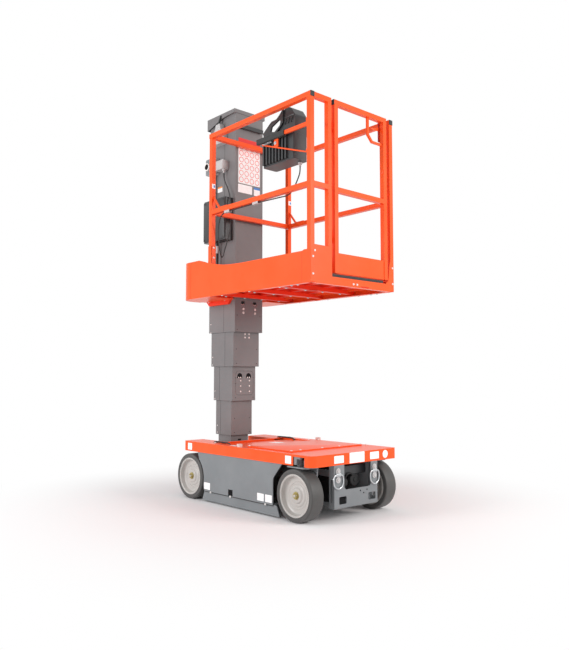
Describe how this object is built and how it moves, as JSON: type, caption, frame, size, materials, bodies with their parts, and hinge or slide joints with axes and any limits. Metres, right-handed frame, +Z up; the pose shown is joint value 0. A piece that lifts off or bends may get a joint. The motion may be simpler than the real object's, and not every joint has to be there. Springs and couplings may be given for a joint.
{
  "type": "vertical mast lift",
  "caption": "Self-propelled vertical mast lift: wheeled chassis, telescoping column mast and guard-railed work platform with a swing gate and hand controls.",
  "frame": {"origin": "on the floor, below the middle of the outline", "axes": "+X forward, towards the gate end; +Y left; +Z up"},
  "size_m": [1.42, 0.766, 2.851],
  "materials": {
    "tyre_rubber": "smooth dark grey non-marking rubber",
    "rim_paint": "light grey paint, semi-gloss",
    "frame_grey": "mid grey powder coat",
    "machine_orange": "orange-red powder coat, satin",
    "pad_white": "moulded pale plastic",
    "zinc_steel": "bright zinc-plated steel",
    "battery_black": "moulded black casing",
    "mast_grey": "grey powder-coated extrusion, satin",
    "box_plastic": "fine-textured moulded plastic",
    "switch_plastic": "light grey moulded plastic",
    "black_rubber": "matt black rubber"
  },
  "bodies": {
    "chassis": {"deck": "machine_orange", "deck_cover": "machine_orange", "deck_rest_pads": "pad_white", "floor_pan": "frame_grey", "chassis_frame": "frame_grey", "kingpin_carrier": "frame_grey", "front_box": "frame_grey", "tie_down_rings": "zinc_steel", "skirt_left": "frame_grey", "skirt_right": "frame_grey", "power_block": "battery_black", "rear_stub_axles": "frame_grey", "mast_section_base": "mast_grey"},
    "knuckle_left": {"knuckle_left": "frame_grey"},
    "knuckle_right": {"knuckle_right": "frame_grey"},
    "tie_rod": {"tie_rod": "frame_grey"},
    "front_wheel_left": {"front_tyre_left": "tyre_rubber", "front_rim_left": "rim_paint"},
    "front_wheel_right": {"front_tyre_right": "tyre_rubber", "front_rim_right": "rim_paint"},
    "rear_wheel_left": {"rear_tyre_left": "tyre_rubber", "rear_rim_left": "rim_paint"},
    "rear_wheel_right": {"rear_tyre_right": "tyre_rubber", "rear_rim_right": "rim_paint"},
    "pothole_guard_left": {"pothole_guard_left": "frame_grey"},
    "pothole_guard_right": {"pothole_guard_right": "frame_grey"},
    "mast_a": {"mast_section_a": "mast_grey"},
    "mast_b": {"mast_section_b": "mast_grey"},
    "mast_c": {"mast_section_c": "mast_grey"},
    "platform": {"mast_section_d": "mast_grey", "mast_cap": "mast_grey", "relay_box": "box_plastic", "switch_boxes": "switch_plastic", "platform_floor": "machine_orange", "carriage": "machine_orange", "toe_panel_left": "machine_orange", "toe_panel_right": "machine_orange", "guard_left": "machine_orange", "guard_right": "machine_orange", "guard_rear": "machine_orange", "guard_front": "machine_orange", "sill_rubber": "black_rubber", "corner_bracket": "machine_orange", "control_box": "box_plastic", "control_loop": "box_plastic", "grip_bar": "machine_orange", "grip_sleeve": "black_rubber", "control_cable": "black_rubber", "cable_fittings": "switch_plastic", "rail_plugs": "black_rubber", "mast_bar": "box_plastic", "box_loom": "black_rubber", "floor_frame": "machine_orange"},
    "gate": {"gate": "machine_orange", "gate_latch": "machine_orange", "gate_plug": "black_rubber"}
  },
  "joints": [
    {"name": "rear_wheel_left_spin", "type": "hinge", "parent": "chassis", "child": "rear_wheel_left", "pos_m": [-0.552, 0.3315, 0.158], "axis": [0, 1, 0], "continuous": true},
    {"name": "steer_left", "type": "hinge", "parent": "chassis", "child": "knuckle_left", "pos_m": [0.545, 0.3315, 0.35], "axis": [0, 0, 1], "range_deg": [-50, 50]},
    {"name": "front_wheel_left_spin", "type": "hinge", "parent": "knuckle_left", "child": "front_wheel_left", "pos_m": [0.545, 0.3315, 0.158], "axis": [0, 1, 0], "continuous": true},
    {"name": "pothole_guard_left_slide", "type": "slide", "parent": "chassis", "child": "pothole_guard_left", "axis": [0, 0, 1], "range_m": [0, 0.055]},
    {"name": "rear_wheel_right_spin", "type": "hinge", "parent": "chassis", "child": "rear_wheel_right", "pos_m": [-0.552, -0.3315, 0.158], "axis": [0, 1, 0], "continuous": true},
    {"name": "steer_right", "type": "hinge", "parent": "chassis", "child": "knuckle_right", "pos_m": [0.545, -0.3315, 0.35], "axis": [0, 0, 1], "range_deg": [-50, 50]},
    {"name": "front_wheel_right_spin", "type": "hinge", "parent": "knuckle_right", "child": "front_wheel_right", "pos_m": [0.545, -0.3315, 0.158], "axis": [0, 1, 0], "continuous": true},
    {"name": "pothole_guard_right_slide", "type": "slide", "parent": "chassis", "child": "pothole_guard_right", "axis": [0, 0, 1], "range_m": [0, 0.055]},
    {"name": "tie_rod_pivot", "type": "hinge", "parent": "knuckle_left", "child": "tie_rod", "pos_m": [0.6, 0.3315, 0.356], "axis": [0, 0, 1], "range_deg": [-50, 50]},
    {"name": "mast_slide_a", "type": "slide", "parent": "chassis", "child": "mast_a", "axis": [0, 0, 1], "range_m": [-0.252, 0.812]},
    {"name": "mast_slide_b", "type": "slide", "parent": "mast_a", "child": "mast_b", "axis": [0, 0, 1], "range_m": [-0.252, 0.812]},
    {"name": "mast_slide_c", "type": "slide", "parent": "mast_b", "child": "mast_c", "axis": [0, 0, 1], "range_m": [-0.252, 0.812]},
    {"name": "mast_slide_d", "type": "slide", "parent": "mast_c", "child": "platform", "axis": [0, 0, 1], "range_m": [-0.252, 0.812]},
    {"name": "gate_hinge", "type": "hinge", "parent": "platform", "child": "gate", "pos_m": [0.658, -0.1885, 2], "axis": [0, 0, 1], "range_deg": [0, 90]}
  ],
  "couplings": [
    {"joint": "steer_right", "follows": "steer_left", "ratio": 1},
    {"joint": "tie_rod_pivot", "follows": "steer_left", "ratio": -1},
    {"joint": "mast_slide_b", "follows": "mast_slide_a", "ratio": 1},
    {"joint": "mast_slide_c", "follows": "mast_slide_a", "ratio": 1},
    {"joint": "mast_slide_d", "follows": "mast_slide_a", "ratio": 1},
    {"joint": "pothole_guard_right_slide", "follows": "pothole_guard_left_slide", "ratio": 1}
  ]
}
